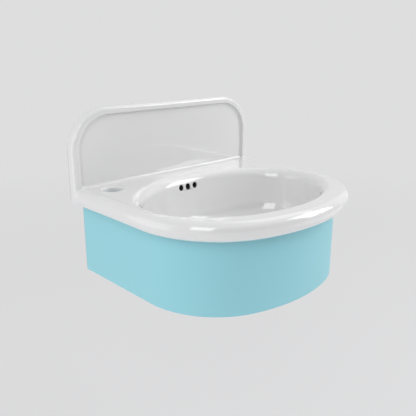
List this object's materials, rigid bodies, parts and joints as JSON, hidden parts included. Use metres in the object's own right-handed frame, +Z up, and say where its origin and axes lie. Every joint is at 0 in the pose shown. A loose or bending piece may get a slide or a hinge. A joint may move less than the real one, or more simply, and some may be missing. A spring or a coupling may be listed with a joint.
{
  "type": "hand basin",
  "caption": "Wall-hung glazed hand basin with a raised back panel, an oval bowl with overflow and push-open waste, and a plain coloured sheet skirt that hides the pipes.",
  "frame": {"origin": "on the wall face at mid-width, level with the tap deck", "axes": "+X along the wall to the right as seen from the front, +Y into the wall, +Z up"},
  "size_m": [0.45, 0.3879, 0.331],
  "materials": {
    "glaze": "gloss white glaze",
    "skirt_coat": "satin turquoise powder coat",
    "soft_trim": "matt grey",
    "zinc_steel": "bright zinc plating",
    "nylon": "natural nylon",
    "chrome": "polished chrome plating",
    "seal_rubber": "matt black",
    "brass": "turned brass",
    "acetal": "moulded, off-white",
    "spring_steel": "drawn stainless wire"
  },
  "bodies": {
    "basin_and_skirt": {"basin": "glaze", "skirt": "skirt_coat", "skirt_edge_trim": "soft_trim", "skirt_bracket_left": "zinc_steel", "skirt_bracket_right": "zinc_steel", "skirt_weld_studs": "zinc_steel", "skirt_stud_washers": "zinc_steel", "skirt_wing_nuts": "zinc_steel", "wall_bolt_bushes": "nylon", "waste_body": "chrome", "waste_flange_seal": "seal_rubber", "waste_lower_seal": "seal_rubber", "waste_slip_washer": "nylon", "waste_back_nut": "brass", "cartridge_body": "acetal", "cartridge_cap": "brass", "plug_spring": "spring_steel"},
    "plug": {"plug_spindle": "brass", "plug_cap": "chrome", "plug_seal": "seal_rubber"}
  },
  "joints": [
    {"name": "plug_slide", "type": "slide", "parent": "basin_and_skirt", "child": "plug", "axis": [0, 0, 1], "range_m": [-0.0088, 0], "stiffness_N_per_m": 800, "springref_m": 0.004, "deforming": ["plug_spring"]}
  ]
}
